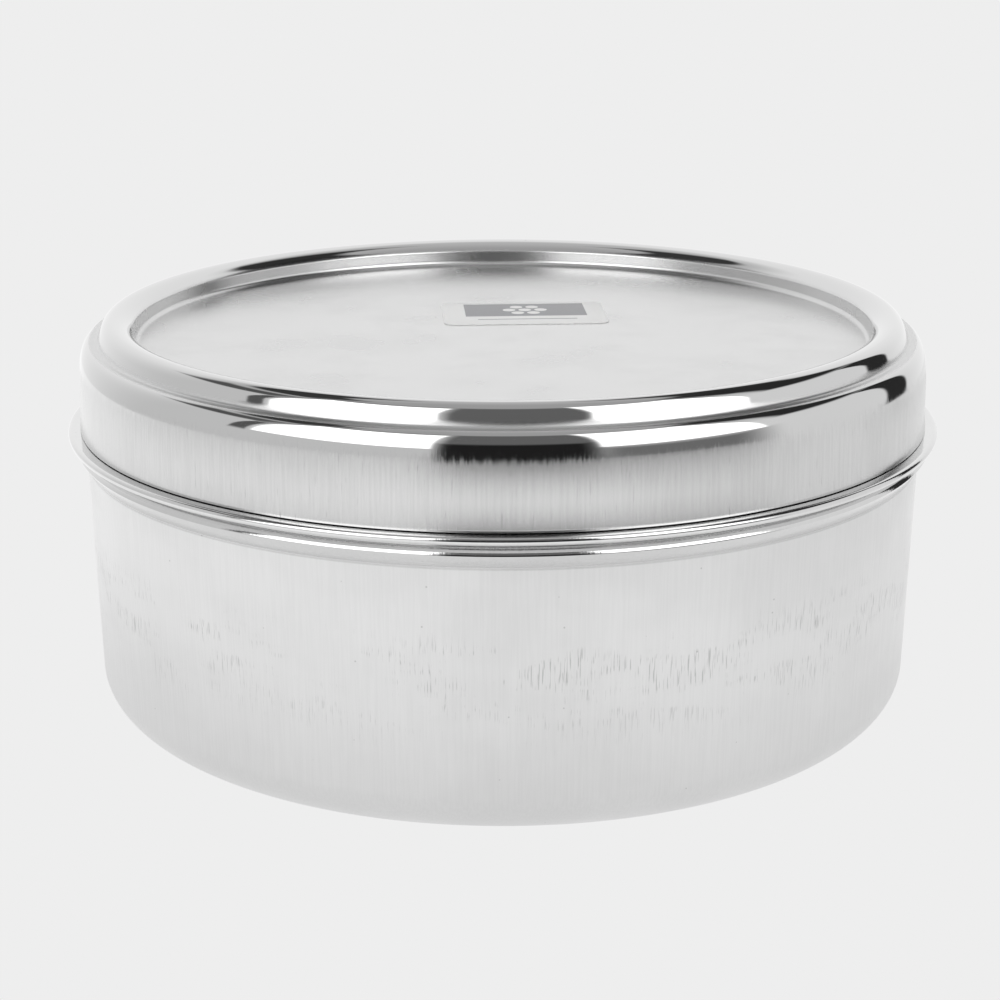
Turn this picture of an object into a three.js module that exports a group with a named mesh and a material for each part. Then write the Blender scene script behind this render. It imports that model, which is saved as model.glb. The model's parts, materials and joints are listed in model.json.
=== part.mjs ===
// Spice box (masala dabba): a drawn steel box with a folded lip, a press-on lid with a blank
// label, an inner plate with a folding ring, seven loose cups and two spoons.
// Millimetres. +Z is up, the box stands on z = 0 and its axis is the Z axis.
import {
  BufferGeometry, CatmullRomCurve3, ExtrudeGeometry, Float32BufferAttribute, Group, LatheGeometry,
  Matrix4, Mesh, MeshStandardMaterial, Path, Shape, TubeGeometry, Vector2, Vector3,
} from 'three';

// ---------------------------------------------------------------- driving sizes

// Box: a drawn pan. Its wall widens over a cone and a roll to a folded lip that the lid rests on,
// and a neck above the lip goes up inside the lid.
const boxRadius = 105.6;        // outside of the wall, just under the cone
const boxTaper = 1.5;           // the wall is this much narrower at the heel
const boxSheet = 0.6;
const heelWidth = 15.5;         // round between base and wall
const heelHeight = 12.0;
const lipHeight = 73.0;         // middle of the lip above the base
const lipThickness = 2.0;
const lipReach = 4.4;           // from the wall out to the lip's edge
const rollRadius = 2.4;
const rollReach = 2.5;          // from the wall out to the roll
const rollDrop = 4.4;           // middle of the roll below the middle of the lip
const rollFrom = 15;            // degrees; the roll meets the cone here
const rollTo = 75;              // degrees; the roll turns up to the lip here
const coneHeight = 3.2;
const neckHeight = 13.6;        // above the middle of the lip

// Lid: recessed disc, raised ridge, valley, round shoulder and a skirt that flares slightly.
const lidSheet = 0.6;
const lidClearance = 0.4;       // between neck and skirt
const lidSeatGap = 0.2;         // between the skirt's edge and the lip
const lidFlare = 0.4;           // the skirt is this much wider at its edge
const skirtToShoulder = 14.6;   // heights above the skirt's edge
const skirtToValley = 21.6;
const skirtToDisc = 20.0;
const skirtToCrest = 26.6;
const crestInset = 8.5;         // from the outside of the skirt in to the crest
const ridgeWidth = 3.2;         // outer side of the ridge, across
const ridgeDrop = 4.2;          // outer side of the ridge, downwards
const ridgeInnerRadius = 6.0;   // inner side of the ridge
const ridgeInnerTurn = 55;      // degrees; the inner side ends in a crease here
const creaseRadius = 0.8;
const valleyFillet = 0.6;
const shoulderWidth = 3.1;
const discFillet = 1.5;

// Label: a blank sticker on the disc, a little off the middle.
const labelLength = 43;
const labelWidth = 27;
const labelCorner = 3;
const labelThickness = 0.2;
const labelPlace = new Vector2(5.6, 23.2);
const labelTurn = 3.5;          // degrees

// Cups: one in the middle and six round it.
const cupsRound = 6;
const cupHeight = 47;
const cupSheet = 0.5;
const cupCurl = 1.2;            // radius of the rolled rim
const cupTaper = 1.2;
const cupGap = 1.2;             // between two rims, and between a rim and the wall
const cupHeelClearance = 1.0;   // between a cup's heel and the box's heel

// Inner plate: lies on the cups' rims.
const plateSheet = 0.6;
const plateClearance = 1.0;     // between the plate and the wall
const plateSeatGap = 0.05;      // between the plate and the cups' rims
const plateLip = 3.5;
const plateLipFillet = 2.2;
const ribInset = 10;            // from the plate's edge in to its rib
const ribRise = 1.2;
const ribHalfWidth = 3;
const ribTopHalfWidth = 1;

// Folding ring and the saddle that holds its bar.
const ringWire = 2.5;
const ringHalfWidth = 13;
const ringSide = 10;            // straight side between the bar and the bow
const ringCorner = 3.5;
const ringClearance = 0.35;     // round the bar
const saddleLength = 12;
const saddleFoot = 7;
const saddleSheet = 0.8;

// Spoons: one on each side of the ring.
const spoonLength = 110;
const spoonBowlLength = 27;
const spoonBowlWidth = 21;
const spoonBowlDepth = 6;
const spoonSheet = 0.9;
const spoonNeckWidth = 5;
const spoonEndWidth = 9;
const spoonTipWidth = 5;        // the handle's end is rounded down to this
const spoonChannel = 0.3;       // dish along the neck of the handle
const spoonArch = 3.5;          // how far the handle rises between the bowl and its end
const spoonGap = 5;             // between the ring's sweep and the bowl
const spoonLift = 0.05;         // above the plate

// Facets in one turn, and along one round of a section.
const boxFacets = 48;
const cupFacets = 20;
const arcStep = 30;             // degrees

// ---------------------------------------------------------------- sizes that follow

const wallFootRadius = boxRadius - boxTaper;
const boxInnerRadius = wallFootRadius - boxSheet;
const skirtZ = lipHeight + lipThickness / 2 + lidSeatGap;
const skirtRadius = boxRadius + lidClearance + lidSheet;
const discZ = skirtZ + skirtToDisc;

const cupRimRadius = (2 * boxInnerRadius - 4 * cupGap) / 6;
const cupPitch = 2 * cupRimRadius + cupGap;
const cupWallTop = cupRimRadius - 2 * cupCurl + cupSheet;
const cupWallFoot = cupWallTop - cupTaper;
const cupWallToBox = boxInnerRadius - cupPitch - cupWallFoot;
const cupHeelWidth = heelWidth - boxSheet - cupWallToBox + cupHeelClearance;
const cupHeelHeight = heelHeight - boxSheet;

const plateZ = boxSheet + cupHeight + plateSeatGap;
const plateRadius = boxInnerRadius - plateClearance;
const plateTop = plateZ + plateSheet;

const barHole = ringWire / 2 + ringClearance;
const barZ = plateTop + barHole;
const ringReach = ringSide + ringHalfWidth + ringWire / 2;

const spoonOffset = ringReach + spoonGap + spoonBowlWidth / 2;

// ---------------------------------------------------------------- materials

const steel = (name, color, roughness) => new MeshStandardMaterial({ name, color, roughness, metalness: 1 });
const drawnSteel = steel('drawn_steel', 0xc9c9c7, 0.34);
const polishedSteel = steel('polished_steel', 0xd8d8d6, 0.12);
const cupSteel = steel('cup_steel', 0xd2d2d0, 0.2);
const labelPaper = new MeshStandardMaterial({ name: 'label_paper', color: 0xf2f1ee, roughness: 0.45, metalness: 0 });

// ---------------------------------------------------------------- outlines and turned sheet

const radians = (degrees) => degrees * Math.PI / 180;

// Points along an elliptical arc in the section plane, from one angle to another in degrees.
function arc(centreR, centreZ, radiusR, radiusZ, from, to) {
  const steps = Math.max(2, Math.ceil(Math.abs(to - from) / arcStep));
  const points = [];
  for (let i = 0; i <= steps; i++) {
    const angle = radians(from + (to - from) * i / steps);
    points.push(new Vector2(centreR + radiusR * Math.cos(angle), centreZ + radiusZ * Math.sin(angle)));
  }
  return points;
}

// The other face of a sheet: the path moved sideways by its thickness, with mitred corners.
function otherFace(path, thickness) {
  const sideways = (a, b) => new Vector2(a.y - b.y, b.x - a.x).normalize();
  return path.map((point, i) => {
    const before = sideways(path[Math.max(i - 1, 0)], path[Math.max(i, 1)]);
    const after = sideways(path[Math.min(i, path.length - 2)], path[Math.min(i + 1, path.length - 1)]);
    const middle = before.clone().add(after).normalize();
    return point.clone().addScaledVector(middle, thickness / middle.dot(after));
  });
}

// A pressed or spun piece of even thickness. The path starts on the axis; thickness is positive
// when the metal lies to the left of it. Both faces end on the axis, so the solid is closed.
function turnedSheet(path, thickness, facets) {
  const distinct = path.filter((point, i) => i === 0 || point.distanceTo(path[i - 1]) > 1e-6);
  const inside = otherFace(distinct, thickness);
  inside[0].x = 0;
  const section = [...distinct, ...inside.reverse()];
  if (thickness < 0) section.reverse();
  return new LatheGeometry(section, facets).rotateX(Math.PI / 2);
}

// ---------------------------------------------------------------- pieces

function boxGeometry() {
  const lipHalf = lipThickness / 2;
  const lipEnd = boxRadius + lipReach - lipHalf;
  const rollR = boxRadius + rollReach - rollRadius;
  const rollZ = lipHeight - rollDrop;
  const roll = arc(rollR, rollZ, rollRadius, rollRadius, rollFrom, rollTo);
  const path = [
    new Vector2(0, 0),
    ...arc(wallFootRadius - heelWidth, heelHeight, heelWidth, heelHeight, -90, 0),
    new Vector2(boxRadius, roll[0].y - coneHeight),
    ...roll,
    new Vector2(roll.at(-1).x, lipHeight - lipHalf),
    ...arc(lipEnd, lipHeight, lipHalf, lipHalf, -90, 90),
    new Vector2(boxRadius, lipHeight + lipHalf),
    new Vector2(boxRadius, lipHeight + neckHeight),
  ];
  return turnedSheet(path, boxSheet, boxFacets);
}

function lidGeometry() {
  const crestR = skirtRadius - crestInset;
  const crestZ = skirtZ + skirtToCrest;
  const innerZ = crestZ - ridgeInnerRadius;
  const creaseAngle = 90 + ridgeInnerTurn;
  const toCrease = ridgeInnerRadius - creaseRadius;
  const creaseR = crestR + toCrease * Math.cos(radians(creaseAngle));
  const creaseZ = innerZ + toCrease * Math.sin(radians(creaseAngle));
  const wallR = creaseR - creaseRadius;
  const valleyR = crestR + ridgeWidth + valleyFillet;
  const valleyZ = skirtZ + skirtToValley;
  const shoulderZ = skirtZ + skirtToShoulder;
  const path = [
    new Vector2(0, discZ),
    ...arc(wallR - discFillet, discZ + discFillet, discFillet, discFillet, -90, 0),
    ...arc(creaseR, creaseZ, creaseRadius, creaseRadius, 180, creaseAngle),
    ...arc(crestR, innerZ, ridgeInnerRadius, ridgeInnerRadius, creaseAngle, 90),
    ...arc(crestR, crestZ - ridgeDrop, ridgeWidth, ridgeDrop, 90, 0),
    ...arc(valleyR, valleyZ + valleyFillet, valleyFillet, valleyFillet, 180, 270),
    ...arc(skirtRadius - shoulderWidth, shoulderZ, shoulderWidth, valleyZ - shoulderZ, 90, 0),
    new Vector2(skirtRadius + lidFlare, skirtZ),
  ];
  return turnedSheet(path, -lidSheet, boxFacets);
}

function labelGeometry() {
  const x = labelLength / 2;
  const y = labelWidth / 2;
  const outline = new Shape();
  outline.moveTo(x, y - labelCorner);
  outline.absarc(x - labelCorner, y - labelCorner, labelCorner, 0, Math.PI / 2);
  outline.absarc(labelCorner - x, y - labelCorner, labelCorner, Math.PI / 2, Math.PI);
  outline.absarc(labelCorner - x, labelCorner - y, labelCorner, Math.PI, Math.PI * 1.5);
  outline.absarc(x - labelCorner, labelCorner - y, labelCorner, Math.PI * 1.5, Math.PI * 2);
  return new ExtrudeGeometry(outline, { depth: labelThickness, bevelEnabled: false, curveSegments: 5 });
}

function cupGeometry() {
  const curlPath = cupCurl - cupSheet;
  const path = [
    new Vector2(0, 0),
    ...arc(cupWallFoot - cupHeelWidth, cupHeelHeight, cupHeelWidth, cupHeelHeight, -90, 0),
    ...arc(cupWallTop + curlPath, cupHeight - cupCurl, curlPath, curlPath, 180, -30),
  ];
  return turnedSheet(path, cupSheet, cupFacets);
}

function plateGeometry() {
  const rib = plateRadius - ribInset;
  const path = [
    new Vector2(0, 0),
    new Vector2(rib - ribHalfWidth, 0),
    new Vector2(rib - ribTopHalfWidth, ribRise),
    new Vector2(rib + ribTopHalfWidth, ribRise),
    new Vector2(rib + ribHalfWidth, 0),
    ...arc(plateRadius - plateLipFillet, plateLipFillet, plateLipFillet, plateLipFillet, -90, 0),
    new Vector2(plateRadius, plateSheet + plateLip),
  ];
  return turnedSheet(path, plateSheet, boxFacets);
}

// A D of round wire in the XY plane, with its bar on the X axis and its bow towards -Y.
function ringGeometry() {
  const corner = ringHalfWidth - ringCorner;
  const outline = new Path();
  outline.moveTo(-corner, 0);
  outline.lineTo(corner, 0);
  outline.absarc(corner, -ringCorner, ringCorner, Math.PI / 2, 0, true);
  outline.lineTo(ringHalfWidth, -ringSide);
  outline.absarc(0, -ringSide, ringHalfWidth, 0, Math.PI, true);
  outline.lineTo(-ringHalfWidth, -ringCorner);
  outline.absarc(-corner, -ringCorner, ringCorner, Math.PI, Math.PI / 2, true);
  const points = outline.getSpacedPoints(36).slice(0, -1).map((point) => new Vector3(point.x, point.y, 0));
  return new TubeGeometry(new CatmullRomCurve3(points, true), points.length, ringWire / 2, 8, true);
}

// A strap bent over the bar, with a foot welded down on either side of it.
function saddleGeometry() {
  const outer = barHole + saddleSheet;
  const foot = barHole + saddleFoot;
  const outline = new Shape();
  outline.moveTo(foot, 0);
  outline.lineTo(foot, saddleSheet);
  outline.lineTo(outer, saddleSheet);
  outline.lineTo(outer, barHole);
  outline.absarc(0, barHole, outer, 0, Math.PI);
  outline.lineTo(-outer, saddleSheet);
  outline.lineTo(-foot, saddleSheet);
  outline.lineTo(-foot, 0);
  outline.lineTo(-barHole, 0);
  outline.lineTo(-barHole, barHole);
  outline.absarc(0, barHole, barHole, Math.PI, 0, true);
  outline.lineTo(barHole, 0);
  const strap = new ExtrudeGeometry(outline, { depth: saddleLength, bevelEnabled: false, curveSegments: 6 });
  const acrossY = new Matrix4().makeBasis(new Vector3(0, 1, 0), new Vector3(0, 0, 1), new Vector3(1, 0, 0));
  return strap.applyMatrix4(acrossY).translate(-saddleLength / 2, 0, 0);
}

// A pressed spoon along X, bowl first, lying on z = 0 on its bowl and on the end of its handle.
function spoonGeometry() {
  const bowlSteps = 8;
  const handleSteps = 9;
  const across = 6;
  const bowlHalf = spoonBowlLength / 2;
  const bowlStart = 170;
  const bowlEnd = Math.asin(spoonNeckWidth / spoonBowlWidth) * 180 / Math.PI;
  const rim = spoonBowlDepth + spoonSheet;
  const stations = [];
  for (let i = 0; i <= bowlSteps; i++) {
    const angle = radians(bowlStart + (bowlEnd - bowlStart) * i / bowlSteps);
    const swell = Math.sin(angle);
    stations.push({
      x: bowlHalf * (1 + Math.cos(angle)),
      half: spoonBowlWidth / 2 * swell,
      z: rim,
      dish: spoonBowlDepth * swell ** 2,
    });
  }
  const neckX = stations[bowlSteps].x;
  for (let i = 1; i <= handleSteps; i++) {
    const part = i / handleSteps;
    const width = spoonNeckWidth + (spoonEndWidth - spoonNeckWidth) * part;
    stations.push({
      x: neckX + (spoonLength - neckX) * part,
      half: (i === handleSteps ? spoonTipWidth : width) / 2,
      z: rim + (spoonSheet - rim) * part ** 2 + spoonArch * Math.sin(Math.PI * part),
      dish: spoonChannel * (1 - part),
    });
  }
  const positions = [];
  for (const face of [0, spoonSheet]) {
    for (const { x, half, z, dish } of stations) {
      for (let j = 0; j <= across; j++) {
        const side = 2 * j / across - 1;
        positions.push(x - spoonLength / 2, half * side, z - dish * (1 - side ** 2) - face);
      }
    }
  }
  const row = across + 1;
  const under = stations.length * row;
  const index = [];
  const quad = (a, b, c, d) => index.push(a, b, c, a, c, d);
  for (let i = 0; i < stations.length - 1; i++) {
    for (let j = 0; j < across; j++) {
      const a = i * row + j;
      quad(a, a + row, a + row + 1, a + 1);
      quad(under + a, under + a + 1, under + a + row + 1, under + a + row);
    }
    const left = i * row;
    const right = left + across;
    quad(left, under + left, under + left + row, left + row);
    quad(right, right + row, under + right + row, under + right);
  }
  const last = (stations.length - 1) * row;
  for (let j = 0; j < across; j++) {
    quad(j, j + 1, under + j + 1, under + j);
    quad(last + j, under + last + j, under + last + j + 1, last + j + 1);
  }
  const geometry = new BufferGeometry();
  geometry.setAttribute('position', new Float32BufferAttribute(positions, 3));
  geometry.setIndex(index);
  geometry.computeVertexNormals();
  return geometry;
}

// ---------------------------------------------------------------- assembly

const group = new Group();

function place(name, geometry, material, x = 0, y = 0, z = 0, turn = 0) {
  const piece = new Mesh(geometry, material);
  piece.name = name;
  piece.position.set(x, y, z);
  piece.rotation.z = turn;
  group.add(piece);
}

place('box', boxGeometry(), drawnSteel);
place('lid', lidGeometry(), polishedSteel);
place('lid_label', labelGeometry(), labelPaper, labelPlace.x, labelPlace.y, discZ, radians(labelTurn));

place('cup_centre', cupGeometry(), cupSteel, 0, 0, boxSheet);
for (let i = 0; i < cupsRound; i++) {
  const angle = 2 * Math.PI * i / cupsRound;
  place(`cup_${i + 1}`, cupGeometry(), cupSteel, cupPitch * Math.cos(angle), cupPitch * Math.sin(angle), boxSheet);
}

place('inner_plate', plateGeometry(), polishedSteel, 0, 0, plateZ);
place('ring_saddle', saddleGeometry(), polishedSteel, 0, 0, plateTop);
place('lifting_ring', ringGeometry(), polishedSteel, 0, 0, barZ);

place('spoon_front', spoonGeometry(), polishedSteel, 0, -spoonOffset, plateTop + spoonLift);
place('spoon_back', spoonGeometry(), polishedSteel, 0, spoonOffset, plateTop + spoonLift, Math.PI);

export default group;
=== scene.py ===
"""Spice box (masala dabba): a drawn steel box with a press-on lid, seven loose cups, an inner
plate with a folding ring, and two spoons. Metres, +Z up; the box stands on z = 0 on the Z axis."""

import json
import math

import bpy
from bpy.props import FloatProperty, FloatVectorProperty, IntProperty, PointerProperty
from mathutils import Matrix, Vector


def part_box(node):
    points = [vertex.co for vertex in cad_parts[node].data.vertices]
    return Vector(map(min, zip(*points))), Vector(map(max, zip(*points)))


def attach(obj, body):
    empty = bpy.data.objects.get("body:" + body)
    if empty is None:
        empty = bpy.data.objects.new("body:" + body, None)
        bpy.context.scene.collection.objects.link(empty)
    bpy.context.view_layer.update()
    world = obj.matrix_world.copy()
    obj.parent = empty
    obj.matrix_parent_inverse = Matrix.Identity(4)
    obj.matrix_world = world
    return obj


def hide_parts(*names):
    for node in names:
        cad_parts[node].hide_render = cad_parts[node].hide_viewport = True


bl_info = {
    "name": "Spice box",
    "version": (1, 0, 0),
    "blender": (4, 5, 0),
    "location": "View3D > Sidebar > Spice box",
    "description": "Makes the pieces of a round steel spice box and its studio",
    "category": "Add Mesh",
}

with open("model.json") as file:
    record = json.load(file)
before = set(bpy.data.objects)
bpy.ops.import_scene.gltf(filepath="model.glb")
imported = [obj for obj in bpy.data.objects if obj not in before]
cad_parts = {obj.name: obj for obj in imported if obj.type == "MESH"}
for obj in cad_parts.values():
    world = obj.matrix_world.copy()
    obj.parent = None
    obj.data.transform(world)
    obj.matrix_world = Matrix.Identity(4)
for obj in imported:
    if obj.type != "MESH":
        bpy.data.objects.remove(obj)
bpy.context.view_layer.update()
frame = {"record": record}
MM = 0.001
# How many faces the big pieces and the cups have round the axis.
ROUND, CUP_ROUND = 240, 120


def edge(name, axis="x"):
    """How far a CAD node reaches from the frame's axis, or its top with axis z."""
    return getattr(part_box(name)[1], axis)


def linear(hex_colour):
    """An sRGB hex colour as the linear values that Blender works in."""
    values = [int(hex_colour[i:i + 2], 16) / 255 for i in (1, 3, 5)]
    return [v / 12.92 if v <= 0.04045 else ((v + 0.055) / 1.055) ** 2.4 for v in values]


def length(name, description, default):
    """A length setting, in metres."""
    return FloatProperty(name=name, description=description, default=default, unit="LENGTH",
                         precision=5)


def colour(name, description, default):
    """A colour setting from an sRGB hex colour."""
    return FloatVectorProperty(name=name, description=description, default=linear(default),
                               subtype="COLOR")


# ---------------------------------------------------------------- settings


class BoxSizes(bpy.types.PropertyGroup):
    """The drawn box."""
    lip_reach: length("Lip reach", "From the wall out to the lip's edge", 4.4 * MM)
    taper: length("Taper", "How much narrower the wall is at the heel", 1.5 * MM)
    sheet: length("Sheet", "Thickness of the metal", 0.6 * MM)
    heel_width: length("Heel width", "Round between base and wall, across", 15.5 * MM)
    heel_height: length("Heel height", "Round between base and wall, upwards", 12.0 * MM)
    lip_height: length("Lip height", "Middle of the folded lip above the base", 73.0 * MM)
    lip_thickness: length("Lip thickness", "Folded lip", 2.0 * MM)
    roll_radius: length("Roll radius", "Round that turns the wall out to the lip", 2.4 * MM)
    roll_reach: length("Roll reach", "From the wall out to the roll", 2.5 * MM)
    roll_drop: length("Roll drop", "Middle of the roll below the middle of the lip", 4.4 * MM)
    cone_height: length("Cone height", "Straight cone under the roll", 3.2 * MM)


class LidSizes(bpy.types.PropertyGroup):
    """The press-on lid."""
    sheet: length("Sheet", "Thickness of the metal", 0.6 * MM)
    flare: length("Flare", "How much wider the skirt is at its edge", 0.57 * MM)
    shoulder: length("Shoulder height", "Top of the skirt above its edge", 14.6 * MM)
    valley: length("Valley height", "Valley above the skirt's edge", 21.6 * MM)
    disc: length("Disc height", "Flat disc above the skirt's edge", 20.0 * MM)
    crest_inset: length("Crest inset", "From the skirt in to the ridge's crest", 8.5 * MM)
    ridge_width: length("Ridge width", "Outer side of the ridge, across", 3.2 * MM)
    ridge_drop: length("Ridge drop", "Outer side of the ridge, downwards", 4.2 * MM)
    ridge_inner: length("Ridge inner radius", "Round of the ridge's inner side", 6.0 * MM)
    crease: length("Crease", "Round where the ridge turns down to the disc", 0.8 * MM)
    valley_fillet: length("Valley fillet", "Round at the foot of the ridge", 1.2 * MM)
    shoulder_width: length("Shoulder width", "Round of the shoulder, across", 3.1 * MM)
    barrel: length("Barrel", "Long round of the skirt's upper part", 126 * MM)
    bell: length("Bell", "Long round of the skirt's flare", 79 * MM)
    disc_fillet: length("Disc fillet", "Round at the edge of the disc", 1.5 * MM)


class CupSizes(bpy.types.PropertyGroup):
    """The seven cups."""
    around: IntProperty(name="Cups around", description="Cups around the middle one", default=6)
    sheet: length("Sheet", "Thickness of the metal", 0.5 * MM)
    curl: length("Curl", "Radius of the rolled rim", 1.2 * MM)
    taper: length("Taper", "How much narrower the wall is at the heel", 1.2 * MM)
    heel_width: length("Heel width", "Round between base and wall, across", 11.6 * MM)
    heel_height: length("Heel height", "Round between base and wall, upwards", 11.4 * MM)


class PlateSizes(bpy.types.PropertyGroup):
    """The inner plate, its saddle and its folding ring."""
    sheet: length("Sheet", "Thickness of the plate", 0.6 * MM)
    lip_fillet: length("Lip fillet", "Round under the upturned edge", 2.2 * MM)
    rib_inset: length("Rib inset", "From the edge in to the rib", 10.0 * MM)
    rib_rise: length("Rib rise", "Height of the rib", 1.2 * MM)
    wire: length("Ring wire", "Diameter of the ring's wire", 2.5 * MM)
    ring_corner: length("Ring corner", "Bend beside the ring's bar", 3.5 * MM)
    ring_side: length("Ring side", "Between the bar and the bow", 10.0 * MM)
    strap: length("Strap sheet", "Thickness of the saddle", 0.8 * MM)
    bar_hole: length("Bar hole", "Radius round the ring's bar", 1.6 * MM)
    weld: length("Weld dimple", "Radius of the press marks on the saddle's feet", 1.2 * MM)


class SpoonSizes(bpy.types.PropertyGroup):
    """The two spoons."""
    bowl_length: length("Bowl length", "Along the spoon", 27 * MM)
    bowl_width: length("Bowl width", "Across the spoon", 21 * MM)
    bowl_depth: length("Bowl depth", "Inside the bowl", 6 * MM)
    sheet: length("Sheet", "Thickness of the metal", 0.9 * MM)
    neck: length("Neck width", "Handle at the bowl", 5 * MM)
    end: length("End width", "Handle near its end", 9 * MM)
    tip: length("Tip width", "Rounded end of the handle", 5 * MM)
    channel: length("Channel", "Dish along the neck", 0.3 * MM)
    arch: length("Arch", "Rise of the handle", 3.5 * MM)


class LabelSizes(bpy.types.PropertyGroup):
    """The paper label."""
    long_side: length("Length", "Long side", 43 * MM)
    short_side: length("Width", "Short side", 27 * MM)
    corner: length("Corner", "Corner radius", 3 * MM)
    paper: length("Paper", "Thickness of the label", 0.2 * MM)
    turn: FloatProperty(name="Turn", description="Turned on the disc",
                        default=math.radians(3.5), subtype="ANGLE")


class Finishes(bpy.types.PropertyGroup):
    """Colours of the metals, the paper and the studio."""
    drawn: colour("Drawn steel", "Satin steel of the box", "#DEDEDE")
    polished: colour("Polished steel", "Lid, plate and fittings", "#D6D6D6")
    cup: colour("Cup steel", "Spun steel of the cups", "#D6D6D6")
    paper: colour("Paper", "Coated label paper", "#F4F4F3")
    ink: colour("Ink", "Grey panel printed on the label", "#96969A")
    backdrop: colour("Backdrop", "Floor and background", "#EEEEEE")


class SpiceBoxSettings(bpy.types.PropertyGroup):
    """Everything that can be changed."""
    box: PointerProperty(type=BoxSizes)
    lid: PointerProperty(type=LidSizes)
    cups: PointerProperty(type=CupSizes)
    plate: PointerProperty(type=PlateSizes)
    spoons: PointerProperty(type=SpoonSizes)
    label: PointerProperty(type=LabelSizes)
    finishes: PointerProperty(type=Finishes)


# ---------------------------------------------------------------- shaping


def arc(centre, radii, start, end, step=6):
    """Points on an elliptical arc in the section plane; the angles are in degrees."""
    count = max(2, math.ceil(abs(end - start) / step))
    angles = [math.radians(start + (end - start) * i / count) for i in range(count + 1)]
    return [(centre[0] + radii[0] * math.cos(a), centre[1] + radii[1] * math.sin(a))
            for a in angles]


def held(path, margin=0.25 * MM):
    """Puts a point near both ends of each long straight run, so that it shades flat."""
    points = [Vector(path[0])]
    for before, after in zip(map(Vector, path), map(Vector, path[1:])):
        run = after - before
        if run.length > 4 * margin:
            points += [before + run.normalized() * margin, after - run.normalized() * margin]
        if run.length > 0.01 * MM:
            points.append(after)
    return points


def alone(piece=None):
    """Makes one piece the only one that is selected, or deselects everything."""
    bpy.ops.object.select_all(action="DESELECT")
    if piece:
        piece.select_set(True)
        bpy.context.view_layer.objects.active = piece


def begin(name):
    """Starts a piece as one vertex on the frame's origin, in edit mode."""
    alone()
    bpy.ops.mesh.primitive_plane_add(size=MM)
    piece = bpy.context.object
    piece.name = piece.data.name = name
    bpy.ops.object.mode_set(mode="EDIT")
    bpy.ops.mesh.merge(type="CENTER")
    bpy.ops.mesh.select_all(action="SELECT")
    return piece


def draw(points):
    """Draws an open line through the points, from the one vertex that is selected."""
    bpy.ops.transform.translate(value=points[0])
    for before, after in zip(points, points[1:]):
        bpy.ops.mesh.extrude_vertices_move(TRANSFORM_OT_translate={"value": after - before})


def close(piece, up):
    """Merges the seams, points the faces one way and leaves edit mode. With up, the face
    nearest the axis points up, and otherwise down."""
    bpy.ops.mesh.select_all(action="SELECT")
    bpy.ops.mesh.remove_doubles(threshold=0.001 * MM)
    bpy.ops.mesh.normals_make_consistent(inside=False)
    bpy.ops.object.mode_set(mode="OBJECT")
    middle = min(piece.data.polygons, key=lambda face: face.center.xy.length)
    if (middle.normal.z > 0) != up:
        bpy.ops.object.mode_set(mode="EDIT")
        bpy.ops.mesh.select_all(action="SELECT")
        bpy.ops.mesh.flip_normals()
        bpy.ops.object.mode_set(mode="OBJECT")


def thicken(piece, sheet, burr=0.1 * MM):
    """Gives a surface its sheet on the inner side, and breaks the cut edges."""
    solid = piece.modifiers.new("Sheet", "SOLIDIFY")
    solid.thickness = sheet
    solid.offset = -1
    solid.use_even_offset = True
    bpy.ops.object.modifier_apply(modifier=solid.name)
    bevel = piece.modifiers.new("Broken edges", "BEVEL")
    bevel.width = burr
    bevel.segments = 2
    bevel.limit_method = "ANGLE"
    bevel.angle_limit = math.radians(50)
    bpy.ops.object.modifier_apply(modifier=bevel.name)


def turned(name, path, sheet, up, steps=ROUND):
    """Turns a section once round the axis and gives it its sheet."""
    piece = begin(name)
    draw([Vector((r, 0, z)) for r, z in held(path)])
    bpy.ops.mesh.select_all(action="SELECT")
    bpy.ops.mesh.spin(steps=steps, angle=math.tau, center=(0, 0, 0), axis=(0, 0, 1))
    close(piece, up)
    thicken(piece, sheet)
    return piece


def copy_of(piece, name, move=(0, 0, 0), turn=0.0):
    """A second piece with its own mesh, turned about the axis, moved, and put back on the
    origin."""
    alone(piece)
    bpy.ops.object.duplicate(linked=False)
    made = bpy.context.object
    made.name = made.data.name = name
    made.rotation_euler.z = turn
    made.location = move
    bpy.ops.object.transform_apply(location=True, rotation=True, scale=True)
    return made


def seat(piece, part, finish):
    """Shades a finished piece and seats it on its body, in place of its CAD node."""
    alone(piece)
    bpy.ops.object.shade_smooth_by_angle(angle=math.radians(35))
    piece.data.materials.clear()
    piece.data.materials.append(finish)
    bodies = frame["record"]["behaviour"]["bodies"]
    body = next(name for name, parts in bodies.items() if part in parts)
    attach(piece, body)
    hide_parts(part)


# ---------------------------------------------------------------- finishes


# Where the finishes change, in metres: heights above the base, and distances from the axis.
RUB_STARTS, RUB_ENDS = (20 * MM, 38 * MM), (52 * MM, 44 * MM)
BURNISHED = (65.6 * MM, 66.4 * MM)
# Where the painted shade in the crease lies, and how far it reaches either way.
WALL_CREASE, WALL_CREASE_REACH = 65.75 * MM, (0.55 * MM, 0.2 * MM)
DISC_EDGE = (93.6 * MM, 93.0 * MM)
BELT_END, BELT_STREAK = (91.0 * MM, 87.6 * MM), -2.0 * MM
GROOVE, GROOVE_REACH = 102.7 * MM, (1.6 * MM, 1.0 * MM)
GROOVE_FLOOR = (98.4 * MM, 97.4 * MM)
# What is left of a metal's brightness where it is darkest.
DARKEST = 0.45


def node(tree, kind, label, links, **settings):
    """Adds one node. links gives its inputs fixed values, other nodes or their outputs."""
    made = tree.nodes.new(kind)
    made.label = label
    for name, value in settings.items():
        setattr(made, name, value)
    for socket, value in links.items():
        if isinstance(value, bpy.types.Node):
            value = next(out for out in value.outputs if out.enabled)
        if isinstance(value, bpy.types.NodeSocket):
            tree.links.new(value, made.inputs[socket])
        else:
            made.inputs[socket].default_value = value
    return made


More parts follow.
